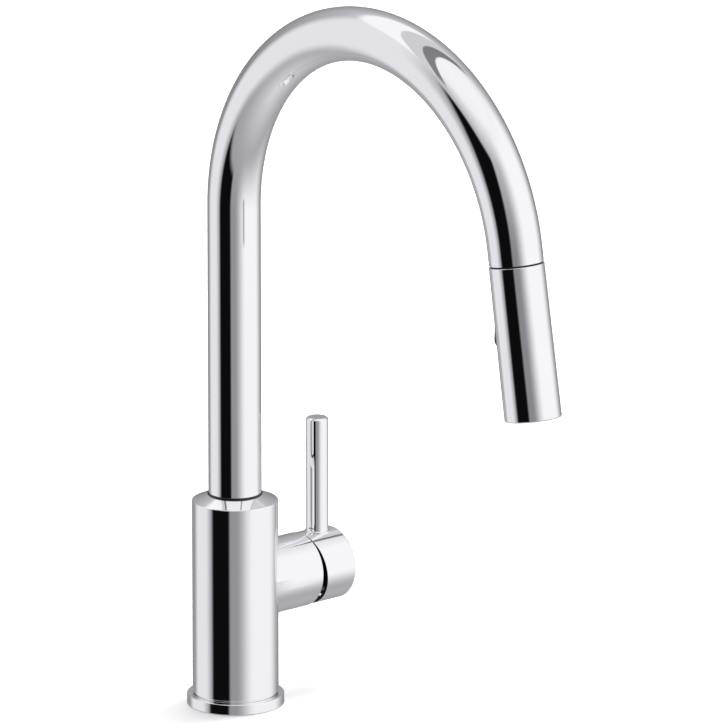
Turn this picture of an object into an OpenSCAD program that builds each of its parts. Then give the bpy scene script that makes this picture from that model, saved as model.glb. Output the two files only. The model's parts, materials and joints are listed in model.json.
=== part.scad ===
// Pull-down kitchen faucet: a round body with a side lever, a swivelling
// gooseneck spout and a spray head that docks in the end of the spout.
// Millimetres. Origin on the body axis at the deck surface, +Z up,
// spout towards -Y, lever towards +X.

/* [Body] */
// Radius of the upright body
body_r = 24; // [23.6:0.1:30]
// Height of the straight side of the body above the deck
body_h = 117; // [98:0.5:145]
// Wall of the body
body_wall = 2.7; // [2:0.1:3.3]
// Rise of the conical shoulder from the rim to the spout
shoulder_rise = 3.5; // [2:0.1:6]
// How far the foot ring stands out from the body
foot_step = 3.1; // [1:0.1:4]
// Height of the foot ring
foot_h = 6; // [5:0.1:9]

/* [Spout] */
// Outer radius of the spout tube
tube_r = 14.8; // [12.4:0.1:17.8]
// Wall of the spout tube
tube_wall = 1.2; // [0.8:0.1:1.6]
// Height at which the riser turns into the arc
riser_h = 285; // [220:1:350]
// Radius of the arc, to the centre of the tube
arc_r = 115; // [90:1:140]
// Angle between the spray head and the vertical
head_tilt = 9.4; // [0:0.1:25]
// Straight tail of the tube between the arc and the spray head
tail_len = 8.4; // [8:0.1:14]

/* [Spray head] */
// Length of the spray head
head_len = 84; // [75:0.5:110]
// Wall of the spray head's shell
head_wall = 2; // [1.6:0.1:2.4]
// Growth of the head's radius from its top to its mouth
head_flare = 0.5; // [0:0.1:2]
// Width of the spray button
button_w = 15; // [13:0.1:16]
// Length of the spray button
button_len = 23; // [20:0.1:26]
// Distance from the top of the head to the button
button_drop = 22; // [20:0.1:24]
// How far the lower end of the button stands out
button_lift = 2.7; // [1.5:0.1:3.5]
// Number of nozzles in the inner ring of the spray face
inner_nozzles = 14; // [8:1:16]
// Number of nozzles in the outer ring of the spray face
outer_nozzles = 20; // [10:1:24]

/* [Lever and valve] */
// Drop from the rim of the body down to the valve's axis
hub_drop = 49.1; // [49:0.1:60]
// Radius of the valve hub
hub_r = 20.8; // [20.4:0.1:25]
// How far the hub reaches out from the surface of the body
hub_out = 23; // [22.5:0.1:28]
// Slope of the hub's open face, in degrees
hub_face_slope = 2; // [0:0.1:3]
// Narrowest gap between the hub and the lever cap, at the top
cap_gap = 0.7; // [0.5:0.1:1.2]
// Slope of the cap's rim, in degrees, which opens the gap downwards
cap_rim_slope = 5.8; // [3:0.1:7]
// Length of the cap along its axis
cap_len = 21.5; // [20:0.1:27]
// Radius of the lever
lever_r = 6.26; // [5.2:0.01:7.5]
// Height of the lever's tip above the valve's axis
lever_h = 85.7; // [71:0.1:103]
// Distance from the end of the cap to the lever's axis
lever_inset = 11.3; // [9:0.1:12]
// Radius of the ceramic cartridge
cartridge_r = 17.4; // [16.6:0.1:17.6]

/* [Deck mounting] */
// Outer radius of the threaded shank
shank_r = 16; // [15:0.1:17.4]
// Length of the shank below the deck
shank_len = 60; // [50:1:80]
// Thickness of the deck that the faucet is drawn on
deck_t = 30; // [20:1:36]

/* [Hose] */
// Outer radius of the braided spray hose
hose_r = 5.5; // [4.6:0.1:6]

/* [Hidden] */
$fn = 96;
eps = 0.5;

// Clearances
running = 0.05;
apart = 0.3;

// Body and foot ring
bore_r = body_r - body_wall;
foot_r = body_r + foot_step;
foot_seat = 2.5;
neck_r = body_r - 0.8;
neck_top = foot_h + 1.1;
foot_lip_r = neck_r + apart;
foot_in_r = shank_r + 3;
gasket_r = [foot_in_r + 2.2, foot_in_r + 4.4];
gasket_h = 1.6;
rim_bevel = 0.5;
foot_bevel = 0.5;
shoulder_top = body_h + shoulder_rise;

// Swivel of the spout
bush_wall = 2.2;
bush_r = tube_r + bush_wall;
bush_bore_r = tube_r + running;
bush_top = body_h - 3;
bush_len = 22;
bush_foot = bush_top - bush_len;
lip_r = tube_r + 0.5;
lip_top = shoulder_top + 1.1;
washer_h = 2;
block_foot = bush_foot - washer_h;
clip_h = 1.2;
clip_top = block_foot - apart;
clip_groove_r = tube_r - 1;
clip_r = tube_r + 1.8;
sleeve_foot = clip_top - clip_h - 2;
sleeve_bore_r = tube_r - 4.3;
tube_foot = bush_foot + 8;
sleeve_top = tube_foot + 12;
tube_bore_r = tube_r - tube_wall;
friction_z = bush_foot + 4;
friction_wire = 0.8;

// End of the spout: the seam where the spray head docks
seam_y = -arc_r - arc_r * cos(head_tilt) - tail_len * sin(head_tilt);
seam_z = riser_h + arc_r * sin(head_tilt) - tail_len * cos(head_tilt);
seam_gap = 0.9;
dock_len = tail_len - 0.9;
dock_bore_r = tube_bore_r - 3;
dock_lip_h = 0.6;
skin = 0.02;

// Hose, its swivelling ferrule and the nut on the spray head
ferrule_r = hose_r + 0.5;
ferrule_bore_r = 3.4;
flange_r = ferrule_r + 2.2;
flange_h = 1.7;
nut_r = dock_bore_r - 0.6;
nut_shoulder = -1;
nut_foot = -12;
nut_top = tail_len - 0.6;
inlet_top = nut_shoulder - flange_h - 2 * apart;
inlet_foot = -16;
inlet_r = flange_r + 0.4;

// Spray head, measured down from the seam
head_top = -seam_gap / 2;
head_r = tube_r + 0.2;
mouth_r = head_r + head_flare;
core_r = head_r - head_wall;
core_foot = -head_len + 6.5;
face_h = 3;
face_low = -head_len + 0.8;
face_top = face_low + face_h;
mat_h = face_top + 1.2;
aerator_r = 6.5;
nozzle_r = 0.85;
inner_ring_r = aerator_r + 2.5;
outer_ring_r = core_r - 1.7;

// Spray button and the spool that it drives
button_top = -button_drop;
button_foot = button_top - button_len;
pivot_y = core_r - 4.7;
pivot_z = (button_top + button_foot) / 2;
pin_r = 1;
pin_half = sqrt(pow(core_r, 2) - pow(pivot_y + pin_r, 2)) - 0.05;
button_back = pivot_y + 0.5;
window_low = button_foot - 1.6;
window_back = pivot_y - 3.3;
spool_r = 3;
spool_half = 7;
spool_neck_r = 1.6;
spool_neck_h = 2.6;
arm_t = 1.6;
arm_tip = spool_neck_r + 0.6;

// Valve, measured out from the body axis
hub_z = body_h - hub_drop;
valve_seat = body_r - 4;
waterway_in = hose_r + 1.5;
waterway_low = hub_z - 20;
waterway_top = hub_z + cartridge_r;
port_r = 4.4;
port_x = waterway_in + port_r + 1.1;
port_y = sqrt(pow(bore_r - port_r - 0.6, 2) - pow(port_x, 2));
hub_end = body_r + hub_out;
cartridge_bore_r = cartridge_r + 0.1;
passage_y = 9;
passage_rise = 2;
passage_drop = 8;
nut_bore_r = cartridge_r + 1.6;
base_t = 3.5;
disc_t = 2.5;
fixed_disc_r = cartridge_r - 3.4;
moving_disc_r = cartridge_r - 5.9;
disc_foot = valve_seat + base_t;
holder_foot = disc_foot + 2 * disc_t;
holder_h = 3;
carrier_foot = holder_foot + holder_h + apart;
carrier_h = 6.2;
carrier_r = cartridge_r - 3.1;
lift_x = carrier_foot + 3.2;
housing_bore_r = cartridge_r - 2.7;
housing_top = carrier_foot + carrier_h + apart + 1.2;
gland_h = 5.5;
gland_top = housing_top + gland_h;
stem_w = 9;
stem_ball_r = 2.2;
stem_tail = lift_x - holder_foot - stem_ball_r - 0.5;
stem_pin_r = 1.6;
stem_eye_r = lift_x - holder_foot - holder_h - apart;

// Lever cap; every point of its hollow stays outside the dome's sphere
cap_r = hub_r - 0.35;
cap_wall = 1.9;
cap_bore_r = cap_r - cap_wall;
cap_rim = hub_end + tan(hub_face_slope) * hub_r + cap_gap + tan(cap_rim_slope) * cap_r;
cap_end = cap_rim + cap_len;
cap_edge = 1.2;
dome_r = min(norm([cap_rim - tan(cap_rim_slope) * cap_r - lift_x, cap_bore_r]) - 1.2, 21.5);
dome_hole_r = 12;
dome_foot = hub_end - 1.2;
hollow_end = lift_x + dome_r + 1;
stem_end = cap_end - 6;
lever_x = cap_end - lever_inset;
lever_seat = hub_z + cap_r - 2.2;
lever_tip = hub_z + lever_h;
stud_r = 3;
screw_r = 2.5;
screw_len = 8;

// Below the deck
pad_t = 3;
plate_t = 2;
clamp_r = 27;
jack_r = 2.5;
jack_ring_r = 22;
jack_len = 17;
nut_gap = 2;
deck_nut_h = 10;
flange_top = 14;
shank_bore_r = shank_r - 2;
hose_foot = -shank_len - 4;
spigot_r = 4;
spigot_end = 26;
tail_grooves = [18, 22];

// Colours
chrome = [0.82, 0.83, 0.86];
brass = [0.80, 0.66, 0.36];
steel = [0.66, 0.67, 0.69];
black = [0.08, 0.08, 0.09];
grey = [0.42, 0.43, 0.45];
white = [0.93, 0.93, 0.92];

// Quarter-round corner points from angle a0 to a1
function corner(x, y, r, a0, a1, steps = 4) =
    [for (i = [0 : steps])
        [x + r * cos(a0 + (a1 - a0) * i / steps), y + r * sin(a0 + (a1 - a0) * i / steps)]];

// Ring about Z between two heights
module ring(r_out, r_in, z0, z1) {
    translate([0, 0, z0])
        linear_extrude(height = z1 - z0)
            difference() {
                circle(r = r_out);
                circle(r = r_in);
            }
}

// Solid cylinder about Z between two heights
module rod(r, z0, z1) {
    translate([0, 0, z0]) cylinder(r = r, h = z1 - z0);
}

// O-ring about Z
module o_ring(r, wire, z) {
    translate([0, 0, z])
        rotate_extrude()
            translate([r, 0])
                circle(r = wire, $fn = 32);
}

// Puts shapes drawn about +Z onto the valve's axis, so that Z becomes +X
module on_valve_axis() {
    translate([0, 0, hub_z]) rotate([0, 90, 0]) children();
}

// Puts shapes drawn below the seam onto the spray head's axis
module on_head_axis() {
    translate([0, seam_y, seam_z]) rotate([-head_tilt, 0, 0]) children();
}

// A round section swept along the arc of the spout
module along_arc() {
    translate([0, -arc_r, riser_h])
        rotate([90, 0, 90])
            rotate_extrude(angle = 180 - head_tilt)
                translate([arc_r, 0])
                    children();
}

// Puts shapes drawn about +Z onto the end of the arc, running on down the tail
module after_arc() {
    translate([0, -arc_r, riser_h])
        rotate([90, 0, 90])
            rotate([0, 0, 180 - head_tilt])
                translate([arc_r, 0, 0])
                    rotate([-90, 0, 0])
                        children();
}

// Half space beyond a sloping plane across the valve's axis
module beyond(x, slope) {
    translate([x, 0, hub_z])
        rotate([0, slope, 0])
            translate([0, -60, -60])
                cube([60, 120, 120]);
}

// ---- Fixed body ----

module body_outline() {
    polygon(concat(
        [[0, foot_seat], [neck_r, foot_seat], [neck_r, neck_top],
         [body_r - 0.3, neck_top], [body_r, neck_top + 0.3]],
        corner(body_r - rim_bevel, body_h - rim_bevel, rim_bevel, 0, 70),
        [[lip_r, shoulder_top], [0, shoulder_top]]
    ));
}

module body_shell() {
    color(chrome)
        difference() {
            union() {
                rotate_extrude() body_outline();
                difference() {
                    on_valve_axis() rod(hub_r, 0, hub_end + 4);
                    beyond(hub_end, hub_face_slope);
                }
            }
            rod(bore_r, foot_seat - eps, block_foot);
            rod(bush_r, block_foot - eps, bush_top);
            rod(lip_r, bush_top - eps, shoulder_top + eps);
            on_valve_axis() rod(cartridge_bore_r, waterway_in, hub_end);
            on_valve_axis() rod(nut_bore_r, housing_top - 1.5, hub_end + 8);
        }
}

module foot_ring() {
    color(chrome)
        rotate_extrude()
            difference() {
                polygon(concat(
                    [[foot_in_r, 0], [foot_r - 0.4, 0], [foot_r, 0.4]],
                    corner(foot_r - foot_bevel, foot_h - foot_bevel, foot_bevel, 0, 90),
                    [[foot_lip_r + 0.3, foot_h], [foot_lip_r, foot_h - 0.3],
                     [foot_lip_r, foot_seat], [foot_in_r, foot_seat]]
                ));
                translate([gasket_r[0], -eps])
                    square([gasket_r[1] - gasket_r[0], gasket_h + eps]);
            }
}

module deck_gasket() {
    color(black) ring(gasket_r[1], gasket_r[0], 0, gasket_h);
}

module shank() {
    color(brass)
        difference() {
            union() {
                rod(shank_r, -shank_len, foot_seat + eps);
                rod(bore_r, foot_seat, flange_top);
            }
            rod(shank_bore_r, -shank_len - eps, flange_top + eps);
        }
}

module rubber_pad() {
    color(black) ring(clamp_r, shank_r, -deck_t - pad_t, -deck_t);
}

module clamp_plate() {
    color(steel) ring(clamp_r, shank_r, -deck_t - pad_t - plate_t, -deck_t - pad_t);
}

// Positions of the two jack screws
module at_jacks() {
    for (side = [-1, 1]) translate([side * jack_ring_r, 0, 0]) children();
}

module deck_nut() {
    nut_z = -deck_t - pad_t - plate_t - nut_gap - deck_nut_h;
    color(brass)
        difference() {
            rod(clamp_r, nut_z, nut_z + deck_nut_h);
            rod(shank_r, nut_z - eps, nut_z + deck_nut_h + eps);
            at_jacks() rod(jack_r, nut_z - eps, nut_z + deck_nut_h + eps);
        }
}

module jack_screws() {
    tip = -deck_t - pad_t - plate_t;
    color(steel)
        at_jacks()
            difference() {
                union() {
                    rod(jack_r, tip - jack_len, tip);
                    rod(jack_r + 1.5, tip - jack_len - 3, tip - jack_len);
                }
                rod(1.6, tip - jack_len - 3 - eps, tip - jack_len - 1, $fn = 6);
            }
}

module waterway() {
    color(brass)
        difference() {
            intersection() {
                rod(bore_r, waterway_low, waterway_top);
                translate([waterway_in, -bore_r, waterway_low - eps])
                    cube([valve_seat - waterway_in, 2 * bore_r, 60]);
            }
            for (side = [-1, 1]) translate([port_x, side * port_y, 0])
                rod(port_r, waterway_low - eps, hub_z - 6);
            translate([port_x, 0, 0]) rod(port_r, waterway_low - eps, hub_z - 6);
            for (side = [-1, 1]) {
                translate([port_x, side * passage_y, 0]) rod(2.4, hub_z - 7, hub_z + 4);
                translate([0, side * passage_y, passage_rise]) on_valve_axis()
                    rod(2.6, port_x, valve_seat + eps);
            }
            translate([0, 0, -passage_drop]) on_valve_axis() rod(2.6, port_x, valve_seat + eps);
        }
}

module swivel_bushing() {
    color(black)
        difference() {
            union() {
                rod(bush_r, bush_foot, bush_top);
                rod(lip_r, bush_top - eps, lip_top);
            }
            rod(bush_bore_r, bush_foot - eps, lip_top + eps);
        }
}

module thrust_washer() {
    color(white) ring(bush_r, tube_r + apart, bush_foot - washer_h, bush_foot);
}

// ---- Ceramic cartridge ----

// The three water passages, seen along the valve's axis
module at_ports() {
    translate([-passage_rise, -passage_y, 0]) children();
    translate([-passage_rise, passage_y, 0]) children();
    translate([passage_drop, 0, 0]) children();
}

module cartridge_base() {
    color(white)
        on_valve_axis()
            difference() {
                rod(cartridge_r, valve_seat, disc_foot);
                at_ports() rod(2.6, valve_seat - eps, disc_foot + eps);
                at_ports() rod(3.8, valve_seat - eps, valve_seat + 1.4);
            }
}

module port_seals() {
    color(black) on_valve_axis() at_ports() ring(3.8, 2.6, valve_seat, valve_seat + 1.4);
}

module fixed_disc() {
    color(white)
        on_valve_axis()
            difference() {
                rod(fixed_disc_r, disc_foot, disc_foot + disc_t);
                at_ports() rod(2.6, disc_foot - eps, disc_foot + disc_t + eps);
            }
}

module cartridge_housing() {
    color(grey)
        on_valve_axis()
            difference() {
                rod(cartridge_r, disc_foot, housing_top);
                rod(fixed_disc_r, disc_foot - eps, disc_foot + disc_t + eps);
                rod(housing_bore_r, disc_foot + disc_t, housing_top - 1.2);
                rod(9, housing_top - 1.2 - eps, housing_top + eps);
            }
}

module gland_nut() {
    color(brass)
        on_valve_axis()
            difference() {
                rod(nut_bore_r, housing_top, gland_top);
                rod(11.5, housing_top - eps, gland_top + eps);
            }
}

module bonnet_dome() {
    color(black)
        on_valve_axis()
            difference() {
                union() {
                    rod(nut_bore_r, gland_top, dome_foot);
                    intersection() {
                        translate([0, 0, lift_x]) sphere(r = dome_r);
                        rod(cap_r, dome_foot - eps, lift_x + dome_r);
                    }
                }
                intersection() {
                    translate([0, 0, lift_x]) sphere(r = dome_r - 1.2);
                    rod(cap_r, gland_top - eps, lift_x + dome_r);
                }
                rod(dome_hole_r, gland_top - eps, lift_x + dome_r + eps);
            }
}

module disc_carrier() {
    color(grey)
        on_valve_axis()
            difference() {
                rod(carrier_r, carrier_foot, carrier_foot + carrier_h);
                translate([-7.5, -stem_w / 2 - 0.2, carrier_foot - eps])
                    cube([15, stem_w + 0.4, carrier_h + 2 * eps]);
                translate([0, 0, lift_x])
                    rotate([90, 0, 0])
                        cylinder(r = stem_pin_r, h = 2 * carrier_r, center = true);
            }
}

module stem_pin() {
    color(steel)
        translate([lift_x, 0, hub_z])
            rotate([90, 0, 0])
                cylinder(r = stem_pin_r, h = 2 * carrier_r - 4, center = true);
}

module moving_disc() {
    color(white)
        on_valve_axis()
            difference() {
                rod(moving_disc_r, disc_foot + disc_t, holder_foot);
                translate([3, 0, 0]) rod(4, disc_foot + disc_t - eps, disc_foot + disc_t + 1.5);
            }
}

module disc_holder() {
    color(grey)
        on_valve_axis()
            difference() {
                rod(moving_disc_r, holder_foot, holder_foot + holder_h);
                rod(stem_ball_r + 0.9, holder_foot + 0.4, holder_foot + holder_h + eps);
            }
}

// ---- Lever ----

module valve_stem() {
    color(steel)
        difference() {
            union() {
                translate([lift_x - stem_tail, 0, hub_z]) sphere(r = stem_ball_r);
                on_valve_axis() rod(1.8, lift_x - stem_tail, lift_x);
                translate([lift_x, 0, hub_z])
                    rotate([90, 0, 0])
                        cylinder(r = stem_eye_r, h = stem_w, center = true);
                translate([lift_x, -stem_w / 2, hub_z - stem_w / 2])
                    cube([stem_end - lift_x, stem_w, stem_w]);
            }
            translate([lift_x, 0, hub_z])
                rotate([90, 0, 0])
                    cylinder(r = stem_pin_r + running, h = stem_w + 2, center = true);
        }
}

// The lever's foot is blended into the cap by a small fillet
module lever_fillet() {
    fillet = 0.8;
    crown = hub_z + cap_r;
    translate([lever_x, 0, 0])
        rotate_extrude()
            polygon(concat(
                [[0, crown - 2.4], [lever_r + fillet, crown - 2.4]],
                corner(lever_r + fillet, crown + fillet - 0.2, fillet, 270, 180),
                [[0, crown + fillet - 0.2]]
            ));
}

module lever_cap() {
    color(chrome)
        difference() {
            union() {
                intersection() {
                    on_valve_axis()
                        rotate_extrude()
                            polygon(concat(
                                [[0, hub_end], [cap_r, hub_end]],
                                corner(cap_r - cap_edge, cap_end - cap_edge, cap_edge, 0, 90),
                                [[0, cap_end]]
                            ));
                    beyond(cap_rim, -cap_rim_slope);
                }
                lever_fillet();
            }
            on_valve_axis() rod(cap_bore_r, hub_end - eps, hollow_end);
            translate([hollow_end - eps, -stem_w / 2, hub_z - stem_w / 2])
                cube([stem_end - hollow_end + eps, stem_w, stem_w]);
            translate([lever_x, 0, 0]) rod(lever_r, lever_seat, lever_tip);
            translate([lever_x, 0, 0]) rod(stud_r, hub_z + stem_w / 2 + 2, lever_seat + eps);
            translate([lever_x, 0, 0]) rod(screw_r, hub_z - cap_r - eps, hub_z);
        }
}

module lever_rod() {
    chamfer = 1;
    color(chrome)
        translate([lever_x, 0, 0])
            rotate_extrude()
                polygon([
                    [0, hub_z + stem_w / 2 + 2.5], [stud_r, hub_z + stem_w / 2 + 2.5],
                    [stud_r, lever_seat], [lever_r, lever_seat],
                    [lever_r, lever_tip - chamfer], [lever_r - chamfer, lever_tip],
                    [0, lever_tip]
                ]);
}

module set_screw() {
    tip = hub_z - stem_w / 2;
    color(steel)
        translate([lever_x, 0, 0])
            difference() {
                rod(screw_r, tip - screw_len, tip);
                rod(1.4, tip - screw_len - eps, tip - screw_len + 3, $fn = 6);
            }
}

module screw_plug() {
    top = hub_z - stem_w / 2 - screw_len;
    color(grey) translate([lever_x, 0, 0]) rod(screw_r, hub_z - cap_r + 0.4, top);
}

// ---- Spout ----

// The tail starts inside the end of the arc and is a hair thinner all round
module spout_tube() {
    color(chrome) {
        ring(tube_r, tube_bore_r, tube_foot, riser_h);
        along_arc()
            difference() {
                circle(r = tube_r);
                circle(r = tube_bore_r);
            }
        after_arc() ring(tube_r - skin, tube_bore_r + skin, -eps, tail_len - seam_gap / 2);
    }
}

module spout_sleeve() {
    color(brass)
        difference() {
            union() {
                rod(tube_r, sleeve_foot, tube_foot);
                rod(tube_bore_r, tube_foot - eps, sleeve_top);
            }
            rod(sleeve_bore_r, sleeve_foot - eps, sleeve_top + eps);
            ring(tube_r + eps, clip_groove_r, clip_top - clip_h, clip_top);
            ring(tube_r + eps, tube_r - 2 * friction_wire, friction_z - friction_wire,
                 friction_z + friction_wire);
        }
}

module friction_ring() {
    color(black) o_ring(tube_r - friction_wire, friction_wire, friction_z);
}

module retaining_clip() {
    color(steel)
        difference() {
            ring(clip_r, clip_groove_r, clip_top - clip_h, clip_top);
            translate([0, -3, clip_top - clip_h - eps]) cube([clip_r + 2, 6, clip_h + 2 * eps]);
        }
}

module dock_sleeve() {
    color(black)
        on_head_axis()
            difference() {
                union() {
                    rod(tube_bore_r, 0, dock_len);
                    rod(tube_r - 0.5, seam_gap / 2 - dock_lip_h, seam_gap / 2);
                }
                rod(dock_bore_r, -2, dock_len + eps);
            }
}

module spray_hose() {
    color(grey) {
        rod(hose_r, hose_foot, riser_h);
        along_arc() circle(r = hose_r);
    }
}

module hose_tail_fitting() {
    color(brass)
        difference() {
            union() {
                rod(ferrule_r + 0.5, hose_foot - 12, hose_foot);
                rod(spigot_r, hose_foot - spigot_end, hose_foot - 12 + eps);
            }
            for (drop = tail_grooves)
                ring(spigot_r + eps, spigot_r - 1.25, hose_foot - drop - 0.8, hose_foot - drop + 0.8);
            rod(2.2, hose_foot - spigot_end - eps, hose_foot - 2);
        }
}

module tail_o_rings() {
    color(black) for (drop = tail_grooves) o_ring(spigot_r - 0.65, 0.6, hose_foot - drop);
}

module hose_ferrule() {
    color(brass)
        on_head_axis()
            difference() {
                union() {
                    rod(ferrule_r, nut_shoulder - eps, tail_len);
                    rod(flange_r, nut_shoulder - apart - flange_h, nut_shoulder - apart);
                }
                rod(ferrule_bore_r, nut_shoulder - apart - flange_h - eps, tail_len - 2);
            }
}

// ---- Spray head ----

module hose_nut() {
    color(brass)
        on_head_axis()
            difference() {
                rotate_extrude()
                    polygon([
                        [0, nut_foot], [nut_r, nut_foot], [nut_r, nut_top - 2.5],
                        [nut_r - 1.5, nut_top], [0, nut_top]
                    ]);
                rod(ferrule_r + running, nut_shoulder - eps, nut_top + eps);
                rod(inlet_r, nut_foot - eps, nut_shoulder);
            }
}

module head_shell() {
    color(chrome)
        on_head_axis()
            difference() {
                rotate_extrude()
                    polygon(concat(
                        [[0, head_top], [head_r - 0.4, head_top], [head_r, head_top - 0.4]],
                        corner(mouth_r - 1, 1 - head_len, 1, 0, -90),
                        [[0, -head_len]]
                    ));
                rod(nut_r, -5, head_top + eps);
                rod(core_r, -head_len - eps, -4);
                translate([-button_w / 2 - apart, window_back, window_low])
                    cube([button_w + 2 * apart, 2 * mouth_r, button_top + apart - window_low]);
            }
}

module head_inlet() {
    color(brass)
        on_head_axis()
            difference() {
                union() {
                    rod(inlet_r, inlet_foot, inlet_top);
                    rod(core_r, inlet_foot, nut_foot - 0.5);
                }
                rod(3.4, inlet_foot - eps, inlet_top + eps);
                rod(5, inlet_foot - eps, inlet_top - 3.5);
                ring(7.4, 5.4, inlet_top - 1.2, inlet_top + eps);
            }
}

module inlet_washer() {
    color(black) on_head_axis() ring(7.4, 5.4, inlet_top - 1.2, inlet_top);
}

module check_valve() {
    color(white)
        on_head_axis()
            difference() {
                rod(5, inlet_foot, inlet_top - 3.5);
                for (a = [0 : 60 : 300])
                    rotate(a) translate([3, 0, 0]) rod(1, inlet_foot - eps, inlet_top);
            }
}

module head_core() {
    color(grey)
        on_head_axis()
            difference() {
                rod(core_r, core_foot, inlet_foot);
                rod(3.4, button_top, inlet_foot + eps);
                rod(spool_r + 0.3, button_foot - 1, button_top + eps);
                rod(aerator_r, core_foot - eps, button_foot - 3);
                rod(2.5, button_foot - 3 - eps, button_foot);
                for (a = [45 : 90 : 315])
                    rotate(a) translate([9, 0, 0]) rod(2, core_foot - eps, button_foot - 3);
                translate([-button_w / 2 - apart, window_back, window_low])
                    cube([button_w + 2 * apart, 2 * mouth_r, button_top + apart - window_low]);
                translate([-2.2, 0, pivot_z - 3.2]) cube([4.4, window_back + eps, 6.4]);
                translate([0, pivot_y, pivot_z])
                    rotate([0, 90, 0])
                        cylinder(r = pin_r, h = 2 * pin_half, center = true);
                ring(core_r + eps, core_r - 1.4, core_foot + 2, core_foot + 3.6);
            }
}

module button_pin() {
    color(steel)
        on_head_axis()
            translate([0, pivot_y, pivot_z])
                rotate([0, 90, 0])
                    cylinder(r = pin_r, h = 2 * pin_half, center = true);
}

module spray_button() {
    crest = button_foot + 4.5;
    color(grey)
        on_head_axis()
            difference() {
                union() {
                    intersection() {
                        rotate_extrude()
                            polygon(concat(
                                [[0, button_top], [head_r - 0.6, button_top], [head_r, button_top - 0.6],
                                 [head_r + 0.5, button_top - 6]],
                                corner(head_r + button_lift - 4.5, crest, 4.5, 0, -75, 5),
                                [[0, button_foot + 0.15]]
                            ));
                        translate([-button_w / 2, 0, 0])
                            rotate([90, 0, 90])
                                linear_extrude(height = button_w)
                                    polygon([
                                        [button_back, button_top], [30, button_top],
                                        [30, button_foot - 1], [button_back, button_foot - 1],
                                        [button_back, pivot_z - 4],
                                        [pivot_y - 2.2, pivot_z - 2.5],
                                        [pivot_y - 2.2, pivot_z + 2.5],
                                        [button_back, pivot_z + 4]
                                    ]);
                    }
                    translate([-1.5, arm_tip, pivot_z - arm_t / 2])
                        cube([3, pivot_y - 1.5 - arm_tip, arm_t]);
                }
                translate([0, pivot_y, pivot_z])
                    rotate([0, 90, 0])
                        cylinder(r = pin_r + running, h = button_w + 2, center = true);
            }
}

module diverter_spool() {
    color(white)
        on_head_axis()
            difference() {
                rod(spool_r, pivot_z - spool_half, pivot_z + spool_half);
                ring(spool_r + eps, spool_neck_r, pivot_z - spool_neck_h / 2,
                     pivot_z + spool_neck_h / 2);
                for (side = [-1, 1])
                    ring(spool_r + eps, spool_r - 0.9, pivot_z + side * 5 - 0.7, pivot_z + side * 5 + 0.7);
            }
}

module spool_o_rings() {
    color(black) on_head_axis() for (side = [-1, 1]) o_ring(spool_r - 0.4, 0.5, pivot_z + side * 5);
}

// Places of the nozzles in the spray face
module at_nozzles() {
    for (i = [0 : inner_nozzles - 1])
        rotate(i * 360 / inner_nozzles) translate([inner_ring_r, 0, 0]) children();
    for (i = [0 : outer_nozzles - 1])
        rotate(i * 360 / outer_nozzles) translate([outer_ring_r, 0, 0]) children();
}

module spray_face() {
    color(grey)
        on_head_axis()
            difference() {
                rod(core_r, face_low, face_top);
                rod(aerator_r, face_low - eps, face_top + eps);
                at_nozzles() rod(nozzle_r, face_low - eps, face_top + eps);
            }
}

module nozzle_mat() {
    color(black)
        on_head_axis()
            difference() {
                union() {
                    ring(core_r, aerator_r, face_top, mat_h);
                    at_nozzles() rod(nozzle_r, face_low - 0.5, face_top + eps);
                }
                at_nozzles() rod(0.35, face_low - 1, mat_h + eps);
            }
}

module aerator_cup() {
    color(white)
        on_head_axis()
            ring(aerator_r, aerator_r - 1, face_low - 0.2, face_low + 10);
}

module aerator_screen() {
    color(grey)
        on_head_axis()
            difference() {
                rod(aerator_r - 1, face_low + 0.8, face_low + 2.2);
                for (row = [-2 : 2])
                    for (col = [-2 : 2])
                        translate([row * 1.9, col * 1.9, 0])
                            rod(0.7, face_low, face_low + 3, $fn = 24);
            }
}

module face_o_ring() {
    color(black) on_head_axis() o_ring(core_r - 0.7, 0.7, core_foot + 2.8);
}

body_shell();
foot_ring();
deck_gasket();
shank();
rubber_pad();
clamp_plate();
deck_nut();
jack_screws();
waterway();
swivel_bushing();
thrust_washer();
cartridge_base();
port_seals();
fixed_disc();
cartridge_housing();
gland_nut();
bonnet_dome();
spout_tube();
spout_sleeve();
friction_ring();
retaining_clip();
dock_sleeve();
spray_hose();
hose_tail_fitting();
tail_o_rings();
hose_ferrule();
hose_nut();
head_shell();
head_inlet();
inlet_washer();
check_valve();
head_core();
button_pin();
spray_face();
nozzle_mat();
aerator_cup();
aerator_screen();
face_o_ring();
spray_button();
diverter_spool();
spool_o_rings();
disc_carrier();
stem_pin();
moving_disc();
disc_holder();
valve_stem();
lever_cap();
lever_rod();
set_screw();
screw_plug();
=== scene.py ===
"""Pull-down kitchen faucet: the visible model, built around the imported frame.

Sizes are in millimetres in the classes and become metres when a piece is
published. +Z is up the body, the spout runs towards -Y, the lever hub to +X.
"""
import json
import logging
import math
from dataclasses import dataclass
from enum import Enum
from typing import Iterable, Sequence

import bmesh
import bpy
from mathutils import Matrix, Vector


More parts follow.
